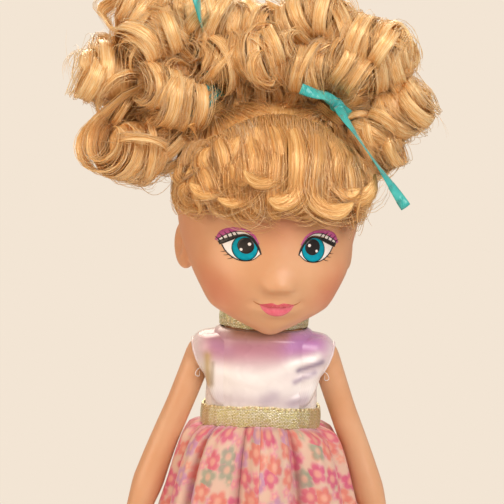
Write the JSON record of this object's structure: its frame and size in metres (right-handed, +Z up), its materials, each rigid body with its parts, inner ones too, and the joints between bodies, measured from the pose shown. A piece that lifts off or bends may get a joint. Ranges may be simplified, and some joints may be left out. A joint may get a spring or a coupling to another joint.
{
  "type": "fashion doll",
  "caption": "Big-headed fashion doll with a printed face, curled blonde pigtails tied in ribbon and a satin dress with a gathered floral skirt; head, arms and legs turn.",
  "frame": {"origin": "on the floor under the neck axis, midway between the shoes", "axes": "+Z up, -Y the way the body faces, +X to the doll's left"},
  "size_m": [0.1144, 0.069, 0.2302],
  "materials": {
    "head_vinyl": "soft rotocast vinyl, satin sheen, printed face",
    "body_plastic": "moulded plastic, satin sheen",
    "plug_plastic": "natural moulded plastic",
    "hair": "rooted golden blonde fibre, set in curls",
    "elastic": "thin hair elastic",
    "ribbon": "narrow teal satin ribbon",
    "satin": "white satin",
    "gold_trim": "woven metallic gold trim",
    "organza": "sheer organza with a small floral print",
    "lining": "plain cream lining",
    "tape": "white hook-and-loop tape",
    "shoe_plastic": "glossy soft plastic"
  },
  "bodies": {
    "torso": {"torso_front": "body_plastic", "torso_back": "body_plastic", "neck_plug": "plug_plastic", "bodice_front": "satin", "bodice_back_left": "satin", "bodice_back_right": "satin", "left_armhole_hem": "satin", "right_armhole_hem": "satin", "back_closure_tape": "tape", "collar_band": "gold_trim", "waistband": "gold_trim", "skirt_overlay": "organza", "skirt_lining": "lining"},
    "head": {"head_shell": "head_vinyl", "scalp_hair": "hair", "fringe": "hair", "right_pigtail": "hair", "left_pigtail": "hair", "right_hair_elastic": "elastic", "left_hair_elastic": "elastic", "right_ribbon": "ribbon", "left_ribbon": "ribbon"},
    "left_arm": {"left_arm": "body_plastic"},
    "right_arm": {"right_arm": "body_plastic"},
    "left_leg": {"left_leg": "body_plastic", "left_shoe": "shoe_plastic"},
    "right_leg": {"right_leg": "body_plastic", "right_shoe": "shoe_plastic"}
  },
  "joints": [
    {"name": "neck_turn", "type": "hinge", "parent": "torso", "child": "head", "pos_m": [0, 0, 0.1342], "axis": [0, 0, 1], "continuous": true},
    {"name": "left_shoulder", "type": "hinge", "parent": "torso", "child": "left_arm", "pos_m": [0.019, 0, 0.118], "axis": [-1, 0, 0], "range_deg": [-60, 130], "deforming": ["left_armhole_hem"]},
    {"name": "right_shoulder", "type": "hinge", "parent": "torso", "child": "right_arm", "pos_m": [-0.019, 0, 0.118], "axis": [-1, 0, 0], "range_deg": [-60, 130], "deforming": ["right_armhole_hem"]},
    {"name": "left_hip", "type": "hinge", "parent": "torso", "child": "left_leg", "pos_m": [0.0115, 0, 0.074], "axis": [-1, 0, 0], "range_deg": [-20, 90], "deforming": ["skirt_overlay", "skirt_lining"]},
    {"name": "right_hip", "type": "hinge", "parent": "torso", "child": "right_leg", "pos_m": [-0.0115, 0, 0.074], "axis": [-1, 0, 0], "range_deg": [-20, 90], "deforming": ["skirt_overlay", "skirt_lining"]}
  ]
}
